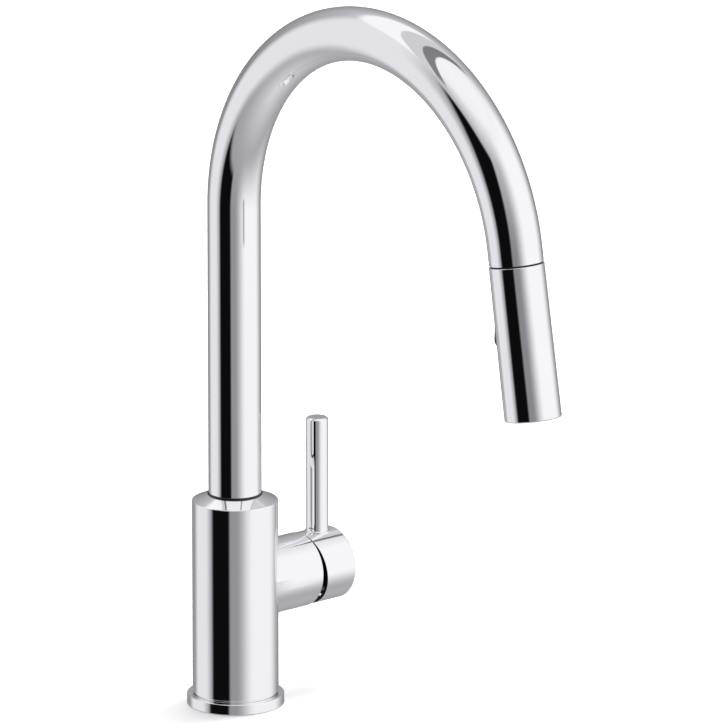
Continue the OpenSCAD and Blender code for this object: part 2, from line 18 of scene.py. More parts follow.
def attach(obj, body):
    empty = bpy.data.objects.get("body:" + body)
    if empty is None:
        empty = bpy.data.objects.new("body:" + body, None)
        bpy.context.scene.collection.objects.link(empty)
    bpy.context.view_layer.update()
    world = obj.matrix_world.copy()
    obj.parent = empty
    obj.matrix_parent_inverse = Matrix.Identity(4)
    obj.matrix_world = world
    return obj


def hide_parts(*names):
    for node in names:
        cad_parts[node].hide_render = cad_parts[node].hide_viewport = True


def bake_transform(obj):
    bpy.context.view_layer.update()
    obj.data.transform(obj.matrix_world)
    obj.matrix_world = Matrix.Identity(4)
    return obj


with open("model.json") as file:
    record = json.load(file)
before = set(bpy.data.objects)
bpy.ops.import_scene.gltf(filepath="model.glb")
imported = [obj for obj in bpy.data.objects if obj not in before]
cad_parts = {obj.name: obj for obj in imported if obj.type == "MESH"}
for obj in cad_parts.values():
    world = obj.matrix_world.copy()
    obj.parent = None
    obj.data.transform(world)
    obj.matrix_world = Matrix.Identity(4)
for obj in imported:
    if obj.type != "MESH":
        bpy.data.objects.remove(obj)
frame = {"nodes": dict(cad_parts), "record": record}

log = logging.getLogger("faucet")
logging.basicConfig(level=logging.INFO, format="%(message)s")

MM = 0.001
WELD = 1e-4
SMOOTH_ANGLE = math.radians(32)
FULL_TURN = 2 * math.pi


# ---------------------------------------------------------------- materials


def linear(code: str) -> tuple[float, float, float, float]:
    """Turns an sRGB hex colour into the linear values that the shaders take.

    Args:
        code: The colour as "#RRGGBB".

    Returns:
        Red, green, blue and alpha, linear.
    """
    parts = [int(code[i:i + 2], 16) / 255 for i in (1, 3, 5)]
    return (*(p / 12.92 if p <= 0.04045 else ((p + 0.055) / 1.055) ** 2.4 for p in parts), 1.0)


def add_node(tree: bpy.types.NodeTree, kind: str, inputs: dict | None = None, **settings) -> bpy.types.Node:
    """Adds one node with its settings, input values and links.

    Args:
        tree: The node tree that the node goes into.
        kind: The node's type name.
        inputs: Input names or numbers, each with a value or the socket it is linked from.
        settings: The node's own properties.

    Returns:
        The new node.
    """
    made = tree.nodes.new(kind)
    for name, value in settings.items():
        setattr(made, name, value)
    for key, value in (inputs or {}).items():
        if isinstance(value, bpy.types.NodeSocket):
            tree.links.new(value, made.inputs[key])
        else:
            made.inputs[key].default_value = value
    return made


@dataclass(frozen=True)
class Finish:
    """A surface: its colour, gloss and fine texture, all of real size.

    Args:
        name: Common name of the material and how it was made.
        slot: The record's material slot.
        colour: sRGB hex colour.
        metallic: 1 for bare or plated metal.
        roughness: Lowest and highest roughness over the surface.
        grain_mm: Size of the blotches that the roughness follows.
        bump_mm: Height of the texture.
        stretch: How much the texture is drawn out along X, Y and Z.
        darker: sRGB hex of the colour's darker blotches, or nothing for an even colour.
    """

    name: str
    slot: str
    colour: str
    metallic: float = 0.0
    roughness: tuple[float, float] = (0.4, 0.5)
    grain_mm: float = 1.0
    bump_mm: float = 0.0
    stretch: tuple[float, float, float] = (1.0, 1.0, 1.0)
    darker: str = ""

    def build(self) -> bpy.types.Material:
        """Makes the node material, or returns the one already made."""
        made = bpy.data.materials.get(self.name)
        if made:
            return made
        made = bpy.data.materials.new(self.name)
        made.use_nodes = True
        tree = made.node_tree
        tree.nodes.clear()
        place = add_node(tree, "ShaderNodeTexCoord").outputs["Object"]
        spread = add_node(tree, "ShaderNodeMapping", {"Vector": place, "Scale": self.stretch})
        grain = add_node(tree, "ShaderNodeTexNoise", {
            "Vector": spread.outputs["Vector"], "Scale": 1 / (self.grain_mm * MM), "Detail": 3.0,
            "Roughness": 0.55})
        rough = add_node(tree, "ShaderNodeMapRange", {
            "Value": grain.outputs["Fac"], "From Min": 0.3, "From Max": 0.7,
            "To Min": self.roughness[0], "To Max": self.roughness[1]})
        shader = add_node(tree, "ShaderNodeBsdfPrincipled", {
            "Base Color": linear(self.colour), "Metallic": self.metallic,
            "Roughness": rough.outputs["Result"]})
        if self.darker:
            shade = add_node(tree, "ShaderNodeMix", {
                "Factor": grain.outputs["Fac"], "A": linear(self.darker), "B": linear(self.colour)},
                data_type="RGBA")
            tree.links.new(shade.outputs[2], shader.inputs["Base Color"])
        if self.bump_mm:
            bump = add_node(tree, "ShaderNodeBump", {
                "Height": grain.outputs["Fac"], "Distance": self.bump_mm * MM, "Strength": 1.0})
            tree.links.new(bump.outputs["Normal"], shader.inputs["Normal"])
        add_node(tree, "ShaderNodeOutputMaterial", {"Surface": shader.outputs["BSDF"]})
        return made


# Bright chrome over polished brass: neutral, a touch cool, a mirror with only a breath of haze.
CHROME = Finish("polished chrome plate", "chrome", "#F9F9FB", 1.0, (0.025, 0.045), 6.0)
# Painted shade: plated metal coloured dark grey and made rough, put on the two rims that face each other in
# the hub's gap to stand in for the shadow inside it.
GAP_SHADE_RIM = Finish("plated rim painted with gap shade", "chrome", "#38383B", 1.0, (0.45, 0.6), 0.8)
# Unplated turned brass: warm yellow, satin from the lathe.
BRASS = Finish("turned brass", "brass", "#C9A45C", 1.0, (0.24, 0.36), 0.6, 0.004, (1, 1, 5), "#A9843F")
# Zinc plated steel: cold grey, slightly cloudy.
STEEL = Finish("zinc plated steel", "steel", "#B4B7BC", 1.0, (0.28, 0.42), 0.8, 0.004, (1, 1, 1), "#9A9DA3")
# Nitrile rubber: black, dull, faintly dusty.
RUBBER = Finish("nitrile rubber", "rubber", "#171719", 0.0, (0.55, 0.72), 0.7, 0.02)
# Moulded acetal: black with a soft sheen.
BLACK_ACETAL = Finish("black moulded acetal", "black_plastic", "#121214", 0.0, (0.32, 0.42), 0.5, 0.006)
# Moulded ABS with a fine spark-eroded grain: mid grey, matt.
GREY_ABS = Finish("grey moulded ABS", "grey_plastic", "#6B6D72", 0.0, (0.38, 0.5), 0.35, 0.01)
# The same moulding in dark grey: the button reads as a near black pad against the chrome.
DARK_ABS = Finish("dark grey moulded ABS", "grey_plastic", "#303135", 0.0, (0.34, 0.46), 0.35, 0.01)
# White acetal: waxy, clean.
WHITE_ACETAL = Finish("white moulded acetal", "white_plastic", "#EDEDEA", 0.0, (0.3, 0.38), 0.6, 0.004)
# Lapped alumina ceramic: creamy white, glassy.
ALUMINA = Finish("lapped alumina ceramic", "ceramic", "#F1EFE8", 0.0, (0.12, 0.18), 0.4)
# Nylon braid over a rubber hose: grey yarns.
NYLON_BRAID = Finish("nylon braid", "braid", "#74767B", 0.0, (0.5, 0.62), 0.5, 0.05, (1, 1, 1), "#4A4B50")

FINISHES = {f.slot: f for f in (
    CHROME, BRASS, STEEL, RUBBER, BLACK_ACETAL, GREY_ABS, WHITE_ACETAL, ALUMINA, NYLON_BRAID)}


# ---------------------------------------------------------------- shapes


class Join(Enum):
    """How one closed shape acts on another."""

    ADD = "UNION"
    CUT = "DIFFERENCE"
    KEEP = "INTERSECT"


@dataclass(frozen=True)
class Point:
    """A point of a turned profile, in millimetres.

    Args:
        r: Distance from the axis.
        z: Place along the axis.
        round: How far its corner is rounded back along both sides.
    """

    r: float
    z: float
    round: float = 0.0


class Shape:
    """A closed mesh in millimetres, shaped by mesh operators."""

    def __init__(self) -> None:
        """Starts an empty shape."""
        self.bm = bmesh.new()

    def close(self) -> "Shape":
        """Welds doubles and turns every face outwards."""
        bmesh.ops.remove_doubles(self.bm, verts=self.bm.verts, dist=WELD)
        bmesh.ops.recalc_face_normals(self.bm, faces=self.bm.faces)
        return self

    @classmethod
    def turned(cls, profile: Iterable[Point], segments: int = 160, steps: int = 5,
               ring: bool = False) -> "Shape":
        """Turns a profile about Z.

        Args:
            profile: The outline, from axis to axis, or all round for a ring.
            segments: Faces round the turn.
            steps: Faces across each rounded corner.
            ring: True if the outline closes on itself.

        Returns:
            The turned shape.
        """
        shape = cls()
        bm = shape.bm
        points = list(profile)
        verts = [bm.verts.new((p.r, 0, p.z)) for p in points]
        pairs = list(zip(verts, verts[1:])) + ([(verts[-1], verts[0])] if ring else [])
        for pair in pairs:
            bm.edges.new(pair)
        for vert, point in zip(verts, points):
            if point.round:
                bmesh.ops.bevel(bm, geom=[vert], offset=point.round, offset_type="OFFSET", segments=steps,
                                profile=0.5, affect="VERTICES", material=-1)
        bmesh.ops.spin(bm, geom=bm.verts[:] + bm.edges[:], cent=(0, 0, 0), axis=(0, 0, 1), dvec=(0, 0, 0),
                       angle=FULL_TURN, steps=segments, use_merge=True, use_normal_flip=False,
                       use_duplicate=False)
        return shape.close()

    @classmethod
    def rod(cls, r: float, low: float, high: float, segments: int = 160, edge: float = 0.0) -> "Shape":
        """A round bar about Z, with rounded rims if edge is set."""
        profile = [Point(0, low), Point(r, low, edge), Point(r, high, edge), Point(0, high)]
        return cls.turned(profile, segments)

    @classmethod
    def block(cls, low: Sequence[float], high: Sequence[float]) -> "Shape":
        """A box between two corners."""
        shape = cls()
        size = [b - a for a, b in zip(low, high)]
        middle = [(a + b) / 2 for a, b in zip(low, high)]
        place = Matrix.Translation(middle) @ Matrix.Diagonal((*size, 1))
        bmesh.ops.create_cube(shape.bm, size=1.0, matrix=place)
        return shape.close()

    def moved(self, matrix: Matrix) -> "Shape":
        """Moves the shape by a matrix in millimetres."""
        bmesh.ops.transform(self.bm, matrix=matrix, verts=self.bm.verts)
        return self

    def with_(self, other: "Shape", how: Join) -> "Shape":
        """Joins, cuts or keeps the overlap with another closed shape.

        Args:
            other: The other shape; it is used up.
            how: What it does to this one.

        Returns:
            This shape, changed.
        """
        objects = []
        for shape in (self, other):
            mesh = bpy.data.meshes.new("working")
            shape.bm.to_mesh(mesh)
            objects.append(bpy.data.objects.new("working", mesh))
            bpy.context.scene.collection.objects.link(objects[-1])
        body, tool = objects
        modifier = body.modifiers.new("working", "BOOLEAN")
        modifier.operation, modifier.solver, modifier.object = how.value, "EXACT", tool
        bpy.context.view_layer.update()
        result = body.evaluated_get(bpy.context.evaluated_depsgraph_get()).to_mesh()
        self.bm.clear()
        self.bm.from_mesh(result)
        for obj in objects:
            mesh = obj.data
            bpy.data.objects.remove(obj)
            bpy.data.meshes.remove(mesh)
        other.bm.free()
        bmesh.ops.remove_doubles(self.bm, verts=self.bm.verts, dist=WELD)
        return self

    def add(self, other: "Shape") -> "Shape":
        """Joins another shape on."""
        return self.with_(other, Join.ADD)

    def cut(self, other: "Shape") -> "Shape":
        """Cuts another shape out."""
        return self.with_(other, Join.CUT)

    def draw_out(self, edges: list, step: Sequence[float]) -> list:
        """Draws a ring of edges out by a step and returns the new ring."""
        made = bmesh.ops.extrude_edge_only(self.bm, edges=edges)["geom"]
        bmesh.ops.translate(self.bm, vec=step, verts=[g for g in made if isinstance(g, bmesh.types.BMVert)])
        return [g for g in made if isinstance(g, bmesh.types.BMEdge)]

    def finished(self, name: str, finish: Finish) -> bpy.types.Object:
        """Turns the shape into an object with smooth shading and its material.

        Args:
            name: The piece's name.
            finish: Its material.

        Returns:
            The new object.
        """
        bmesh.ops.scale(self.bm, vec=(MM, MM, MM), verts=self.bm.verts)
        mesh = bpy.data.meshes.new(name)
        self.bm.to_mesh(mesh)
        self.bm.free()
        mesh.shade_smooth()
        mesh.set_sharp_from_angle(angle=SMOOTH_ANGLE)
        mesh.materials.append(finish.build())
        piece = bpy.data.objects.new(name, mesh)
        bpy.context.scene.collection.objects.link(piece)
        log.info("%s: %d faces", name, len(mesh.polygons))
        return piece

    def mark_gap_shade_faces(self, facing: Sequence[float], low: float, high: float) -> "Shape":
        """Marks the faces that face one way, between two places along X, to take the dark rim colour that
        paints the shade of the hub's gap.
        """
        for face in self.bm.faces:
            if face.normal.dot(Vector(facing)) > 0.98 and low < face.calc_center_median().x < high:
                face.material_index = 1
        return self

    def publish(self, name: str, body: str, finish: Finish, *nodes: str) -> bpy.types.Object:
        """Turns the shape into a finished piece that rides on a body.

        Args:
            name: The piece's name.
            body: The body that it rides on.
            finish: Its material.
            nodes: The CAD nodes that it stands for.

        Returns:
            The new object.
        """
        piece = self.finished(name, finish)
        normals = piece.modifiers.new("weighted normals", "WEIGHTED_NORMAL")
        normals.keep_sharp, normals.mode, normals.weight = True, "FACE_AREA", 50
        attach(piece, body)
        if nodes:
            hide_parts(*nodes)
        return piece


# ---------------------------------------------------------------- sizes shared by the sub-assemblies


@dataclass(frozen=True)
class Sizes:
    """Sizes that more than one sub-assembly is built to, in millimetres."""

    body_r: float = 24.0
    body_h: float = 117.0
    shoulder_top: float = 120.5
    tube_r: float = 14.8
    riser_h: float = 285.0
    arc_r: float = 115.0
    tilt: float = math.radians(9.4)
    tail: float = 8.4
    seam_gap: float = 0.9
    hose_r: float = 5.5
    hub_z: float = 67.9
    hub_r: float = 20.8
    hub_end: float = 47.0
    head_r: float = 15.0
    mouth_r: float = 15.5
    head_len: float = 84.0
    core_r: float = 13.0

    @property
    def head_frame(self) -> Matrix:
        """Puts shapes drawn below the seam onto the spray head's axis."""
        y = -self.arc_r - self.arc_r * math.cos(self.tilt) - self.tail * math.sin(self.tilt)
        z = self.riser_h + self.arc_r * math.sin(self.tilt) - self.tail * math.cos(self.tilt)
        return Matrix.Translation((0, y, z)) @ Matrix.Rotation(-self.tilt, 4, "X")

    @property
    def valve_frame(self) -> Matrix:
        """Puts shapes drawn about +Z onto the valve's axis, so that Z becomes +X."""
        return Matrix.Translation((0, 0, self.hub_z)) @ Matrix.Rotation(math.pi / 2, 4, "Y")


SIZES = Sizes()


# ---------------------------------------------------------------- sub-assemblies


@dataclass
class Body:
    """The upright body with its valve hub, foot ring and bushing."""

    bore_r: float = 21.3
    bush_r: float = 17.0
    bush_bore_r: float = 14.85
    lip_r: float = 15.3
    lip_top: float = 121.6
    foot_seat: float = 2.5
    neck_r: float = 23.2
    neck_top: float = 7.1
    foot_r: float = 27.1
    foot_h: float = 6.0
    foot_lip_r: float = 23.5
    foot_in_r: float = 19.0
    rim_round: float = 0.5
    housing_top: float = 39.5
    nut_bore_r: float = 19.0
    cartridge_bore_r: float = 17.5
    face_slope: float = math.radians(2)
    shank_r: float = 16.0
    pitch: float = 1.5

    def shell(self) -> None:
        """Builds the body and its hub as one polished shell."""
        s = SIZES
        body = Shape.turned([
            Point(0, self.foot_seat), Point(self.neck_r, self.foot_seat), Point(self.neck_r, self.neck_top),
            Point(s.body_r, self.neck_top, 0.3),
            Point(s.body_r, s.body_h, self.rim_round), Point(self.lip_r, s.shoulder_top),
            Point(0, s.shoulder_top)], segments=256)
        hub = Shape.turned([
            Point(0, 4), Point(s.hub_r, 4), Point(s.hub_r, s.hub_end, 0.15), Point(0, s.hub_end)],
            segments=256)
        slope = math.tan(self.face_slope)
        for vert in hub.bm.verts:
            if vert.co.z > s.hub_end - 1:
                vert.co.z -= slope * vert.co.x
        body.add(hub.moved(s.valve_frame))
        body.cut(Shape.turned([
            Point(0, 0), Point(self.bore_r, 0), Point(self.bore_r, 90), Point(self.bush_r, 90),
            Point(self.bush_r, 114), Point(self.lip_r, 114), Point(self.lip_r, 130), Point(0, 130)]))
        body.cut(Shape.turned([
            Point(0, 7), Point(self.cartridge_bore_r, 7),
            Point(self.cartridge_bore_r, self.housing_top - 1.5),
            Point(self.nut_bore_r, self.housing_top - 1.5), Point(self.nut_bore_r, 60), Point(0, 60)]
        ).moved(s.valve_frame))
        body.bm.normal_update()
        # Painted shade: the hub's end face in the gap gets the dark rim material, standing in for the shadow
        # inside the gap.
        body.mark_gap_shade_faces((1, 0, 0), s.hub_end - 2, s.hub_end + 2)
        piece = body.publish("body_plated", "faucet_base", CHROME, "body_shell")
        piece.data.materials.append(GAP_SHADE_RIM.build())

    def foot(self) -> None:
        """Builds the ring that the body stands in."""
        Shape.turned([
            Point(self.foot_in_r, 0), Point(21.2, 0), Point(21.2, 1.6), Point(23.4, 1.6), Point(23.4, 0),
            Point(self.foot_r, 0, 0.4), Point(self.foot_r, self.foot_h, 0.5),
            Point(self.foot_lip_r, self.foot_h, 0.2), Point(self.foot_lip_r, self.foot_seat),
            Point(self.foot_in_r, self.foot_seat)], segments=256, ring=True
        ).publish("foot_ring_plated", "faucet_base", CHROME, "foot_ring")

    def bushing(self) -> None:
        """Builds the bushing that shows as a thin black ring at the spout's foot."""
        Shape.turned([
            Point(self.bush_bore_r, 92), Point(self.bush_r, 92), Point(self.bush_r, 114),
            Point(self.lip_r, 114),
            Point(self.lip_r, self.lip_top, 0.3), Point(self.bush_bore_r, self.lip_top, 0.1)],
            segments=256, ring=True).publish("spout_bushing", "faucet_base", BLACK_ACETAL, "swivel_bushing")

    def shank(self) -> None:
        """Builds the threaded shank below the deck."""
        root, crest, foot, top = self.shank_r - 0.9, self.shank_r - 0.05, -60.0, -1.5
        Shape.turned([
            Point(self.shank_r - 2, foot), Point(root, foot, 0.3), Point(root, top),
            Point(self.shank_r, top, 0.2),
            Point(self.shank_r, self.foot_seat), Point(self.bore_r, self.foot_seat), Point(self.bore_r, 14),
            Point(self.shank_r - 2, 14)], ring=True).publish("shank_core", "faucet_base", BRASS, "shank")
        thread = Shape()
        points = [(root - 0.1, foot + 0.2), (crest, foot + 0.2 + 0.4 * self.pitch),
                  (crest, foot + 0.2 + 0.6 * self.pitch), (root - 0.1, foot + 0.2 + self.pitch)]
        verts = [thread.bm.verts.new((r, 0, z)) for r, z in points]
        for pair in zip(verts, verts[1:]):
            thread.bm.edges.new(pair)
        turns = int((top - foot - 0.4) / self.pitch) - 1
        steps = 48 * turns
        bmesh.ops.spin(thread.bm, geom=thread.bm.verts[:] + thread.bm.edges[:], cent=(0, 0, 0),
                       axis=(0, 0, 1), dvec=(0, 0, self.pitch / 48), angle=FULL_TURN * turns, steps=steps,
                       use_merge=False, use_normal_flip=False, use_duplicate=False)
        thread.close().publish("shank_thread", "faucet_base", BRASS)

    def build(self) -> None:
        """Builds every piece of the body."""
        self.shell()
        self.foot()
        self.bushing()
        self.shank()


@dataclass
class Spout:
    """The swivelling gooseneck."""

    wall: float = 1.2
    foot: float = 100.0
    hose_foot: float = -64.0
    around: int = 128
    along: int = 170

    def skin(self, shape: Shape, r: float, foot: float, tail: float) -> tuple[list, list]:
        """Sweeps a round wall up the riser and over the arc.

        Args:
            shape: The shape that the wall is added to.
            r: Radius of the wall.
            foot: Height at which it starts.
            tail: Length of its straight end beyond the arc.

        Returns:
            The first and last ring of edges.
        """
        s, bm = SIZES, shape.bm
        place = Matrix.Translation((0, 0, foot))
        ring = bmesh.ops.create_circle(bm, segments=self.around, radius=r, matrix=place)
        first = list({e for v in ring["verts"] for e in v.link_edges})
        top = shape.draw_out(first, (0, 0, s.riser_h - foot))
        verts = list({v for e in top for v in e.verts})
        spun = bmesh.ops.spin(bm, geom=verts + top, cent=(0, -s.arc_r, s.riser_h), axis=(1, 0, 0),
                              dvec=(0, 0, 0), angle=math.pi - s.tilt, steps=self.along, use_merge=False,
                              use_normal_flip=False, use_duplicate=False)["geom_last"]
        bend = [g for g in spun if isinstance(g, bmesh.types.BMEdge)]
        return first, shape.draw_out(bend, s.head_frame.to_3x3() @ Vector((0, 0, -tail)))

    def tube(self) -> None:
        """Builds the tube with both its walls."""
        shape = Shape()
        tail = SIZES.tail - SIZES.seam_gap / 2
        outer = self.skin(shape, SIZES.tube_r, self.foot, tail)
        inner = self.skin(shape, SIZES.tube_r - self.wall, self.foot, tail)
        for a, b in zip(outer, inner):
            bmesh.ops.bridge_loops(shape.bm, edges=a + b)
        shape.close().publish("gooseneck", "spout", CHROME, "spout_tube")

    def hose(self) -> None:
        """Builds the hose: its run inside the spout, and the end that is drawn out with the head."""
        s = SIZES
        run = Shape()
        for ring in self.skin(run, s.hose_r, self.hose_foot, 0.0):
            bmesh.ops.holes_fill(run.bm, edges=ring, sides=0)
        run.close().publish("hose_run", "spout", NYLON_BRAID, "spray_hose")
        end = Shape()
        top, low, rings = s.tail - 0.1, 1.2, 80
        circle = bmesh.ops.create_circle(end.bm, cap_ends=True, segments=64, radius=s.hose_r,
                                         matrix=Matrix.Translation((0, 0, top)))
        edges = list({e for v in circle["verts"] for e in v.link_edges})
        for _ in range(rings):
            edges = end.draw_out(edges, (0, 0, (low - top) / rings))
        bmesh.ops.holes_fill(end.bm, edges=edges, sides=0)
        piece = end.close().moved(s.head_frame).finished("hose_drawn_out", NYLON_BRAID)
        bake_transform(piece)

    def build(self) -> None:
        """Builds every piece of the spout."""
        self.tube()
        self.hose()


@dataclass
class Head:
    """The spray head and its button."""

    nut_r: float = 10.0
    window_back: float = 5.0
    window_low: float = -46.6
    window_top: float = -21.7
    window_half: float = 7.8
    pivot_y: float = 8.3
    button_lift: float = 2.7

    def shell(self) -> None:
        """Builds the tapered shell with the button's window."""
        s = SIZES
        top = -s.seam_gap / 2
        shell = Shape.turned([
            Point(self.nut_r, top), Point(s.head_r, top, 0.4), Point(s.mouth_r, -s.head_len, 1.0),
            Point(s.core_r, -s.head_len, 0.3), Point(s.core_r, -4), Point(self.nut_r, -4)],
            segments=256, ring=True)
        shell.cut(Shape.block((-self.window_half, self.window_back, self.window_low),
                              (self.window_half, 30, self.window_top)))
        shell.moved(s.head_frame).publish("head_shell_plated", "spray_head", CHROME, "head_shell")

    def ferrule(self) -> None:
        """Builds the brass ferrule crimped on the hose's end."""
        s = SIZES
        outer, flange = s.hose_r + 0.5, s.hose_r + 2.7
        Shape.turned([
            Point(3.4, -3), Point(flange, -3, 0.2), Point(flange, -1.3, 0.2), Point(outer, -1.3),
            Point(outer, s.tail, 0.15), Point(s.hose_r + 0.05, s.tail), Point(s.hose_r + 0.05, 1.1),
            Point(3.4, 1.1)], segments=96, ring=True
        ).moved(s.head_frame).publish("ferrule_crimped", "hose_end", BRASS, "hose_ferrule")

    def button(self) -> None:
        """Builds the rocking spray button with softened sides."""
        s = SIZES
        top, crest, curve = -22.0, -40.5, 4.5
        swell = s.head_r + self.button_lift - curve
        turns = [math.radians(-7.5 * i) for i in range(11)]
        front = [Point(swell + curve * math.cos(a), crest + curve * math.sin(a)) for a in turns]
        pad = Shape.turned([Point(0, top), Point(s.head_r, top, 0.6), Point(s.head_r + 0.5, top - 6), *front,
                            Point(0, crest + curve * math.sin(turns[-1]))], segments=256)
        half, back = self.window_half - 0.3, self.pivot_y + 0.5
        pad.with_(Shape.block((-half, back, -47), (half, 30, -21)), Join.KEEP)
        sides = [e for e in pad.bm.edges if all(abs(abs(v.co.x) - half) < 0.01 and v.co.y > back + 0.5
                                                for v in e.verts) and e.verts[0].co.x * e.verts[1].co.x > 0]
        rims = [e for e in sides if len({round(abs(f.normal.x), 1) for f in e.link_faces}) > 1]
        bmesh.ops.bevel(pad.bm, geom=rims, offset=0.6, offset_type="OFFSET", segments=3, profile=0.5,
                        affect="EDGES", material=-1, clamp_overlap=True)
        middle = (top - 45) / 2
        pad.add(Shape.block((-half + 0.4, self.pivot_y - 2.2, middle - 3),
                            (half - 0.4, back + 0.2, middle + 3)))
        pad.add(Shape.block((-1.5, 2.2, middle - 0.8), (1.5, self.pivot_y - 1.5, middle + 0.8)))
        pad.moved(s.head_frame).publish("spray_button_pad", "button", DARK_ABS, "spray_button")

    def build(self) -> None:
        """Builds every piece of the head."""
        self.shell()
        self.ferrule()
        self.button()


@dataclass
class Lever:
    """The lever with its cap."""

    cap_r: float = 20.45
    cap_bore_r: float = 18.55
    cap_rim: float = 50.5
    cap_end: float = 72.0
    cap_edge: float = 1.2
    hollow_end: float = 57.5
    rim_slope: float = math.radians(5.8)
    lever_x: float = 60.7
    lever_r: float = 6.26
    lever_tip: float = 153.6
    chamfer: float = 1.0
    fillet_r: float = 0.8
    screw_r: float = 2.5

    def cap(self) -> None:
        """Builds the cap that swings on the hub."""
        s = SIZES
        cap = Shape.turned([
            Point(self.cap_bore_r, self.cap_rim), Point(self.cap_r, self.cap_rim, 0.15),
            Point(self.cap_r, self.cap_end, self.cap_edge), Point(0, self.cap_end),
            Point(0, self.hollow_end), Point(self.cap_bore_r, self.hollow_end)], segments=256, ring=True)
        slope = math.tan(self.rim_slope)
        for vert in cap.bm.verts:
            if vert.co.z < self.cap_rim + 1:
                vert.co.z += slope * vert.co.x
        at_lever = Matrix.Translation((self.lever_x, 0, 0))
        cap.moved(s.valve_frame).add(self.fillet().moved(at_lever))
        cap.cut(Shape.rod(self.screw_r, s.hub_z - self.cap_r - 1, s.hub_z, 64).moved(at_lever))
        cap.bm.normal_update()
        # Painted shade: the cap's rim that faces the hub gets the dark rim material, standing in for the
        # shadow inside the gap.
        piece = cap.mark_gap_shade_faces((-1, 0, 0), 47, 54).publish("lever_cap_plated", "lever", CHROME, "lever_cap")
        piece.data.materials.append(GAP_SHADE_RIM.build())

    def fillet(self) -> Shape:
        """Draws the small fillet that blends the lever's foot into the cap."""
        crown, f = SIZES.hub_z + self.cap_r, self.fillet_r
        turns = [math.radians(270 - 9 * i) for i in range(11)]
        arc = [Point(self.lever_r + f + f * math.cos(a), crown + f - 0.2 + f * math.sin(a)) for a in turns]
        return Shape.turned([Point(0, crown - 2.4), Point(self.lever_r + f, crown - 2.4), *arc,
                             Point(0, crown + f - 0.2)])

    def rod(self) -> None:
        """Builds the lever itself."""
        foot = SIZES.hub_z + self.cap_r - 2.2
        rod = Shape.turned([
            Point(0, foot), Point(self.lever_r, foot),
            Point(self.lever_r, self.lever_tip - self.chamfer, 0.15),
            Point(self.lever_r - self.chamfer, self.lever_tip, 0.3), Point(0, self.lever_tip)], segments=128)
        rod.moved(Matrix.Translation((self.lever_x, 0, 0)))
        rod.publish("lever_rod_plated", "lever", CHROME, "lever_rod")

    def build(self) -> None:
        """Builds every piece of the lever."""
        self.cap()
        self.rod()


# ---------------------------------------------------------------- studio


class Across(Enum):
    """What a panel's two side edges are measured in."""

    TURN = "azimuth in degrees, 0 where the spout points"
    REACH = "how far back a direction lies for its rise"


@dataclass(frozen=True)
class Panel:
    """A softbox, a flag or a bar hung round the set.

    Args:
        across: What its side edges are measured in.
        left: Its first side edge.
        right: Its second side edge.
        soft: How wide its soft side edges are.
        low: Elevation of its lower edge, in degrees.
        high: Elevation of its upper edge.
        fade: How wide its soft lower and upper edges are, in degrees.
        tone: Its tone as sRGB hex.
    """

    across: Across
    left: float
    right: float
    soft: float
    low: float
    high: float
    fade: float
    tone: str


# The grey room from floor to ceiling: elevation in degrees and tone.
ROOM = ((-90, "#D8D8DA"), (-45, "#A8A8AA"), (0, "#88888B"), (35, "#B8B8BA"), (60, "#F4F4F5"), (90, "#F8F8F8"))
# What hangs in the room, each over the ones before it.
PANELS = (
    Panel(Across.TURN, -15, 85, 50, -30, 60, 40, "#FAFAFB"),
    Panel(Across.TURN, -170, -115, 25, -40, 60, 30, "#E6E6E8"),
    Panel(Across.TURN, -105, -56, 9, -30, 32, 6, "#0C0C0D"),
    Panel(Across.REACH, 0.1, 0.25, 0.02, 43, 120, 6, "#808082"),
    Panel(Across.REACH, 0.25, 0.5, 0.02, 43, 120, 6, "#D0D0D2"),
    Panel(Across.REACH, 0.5, 3.0, 0.04, 43, 120, 6, "#FAFAFA"),
)


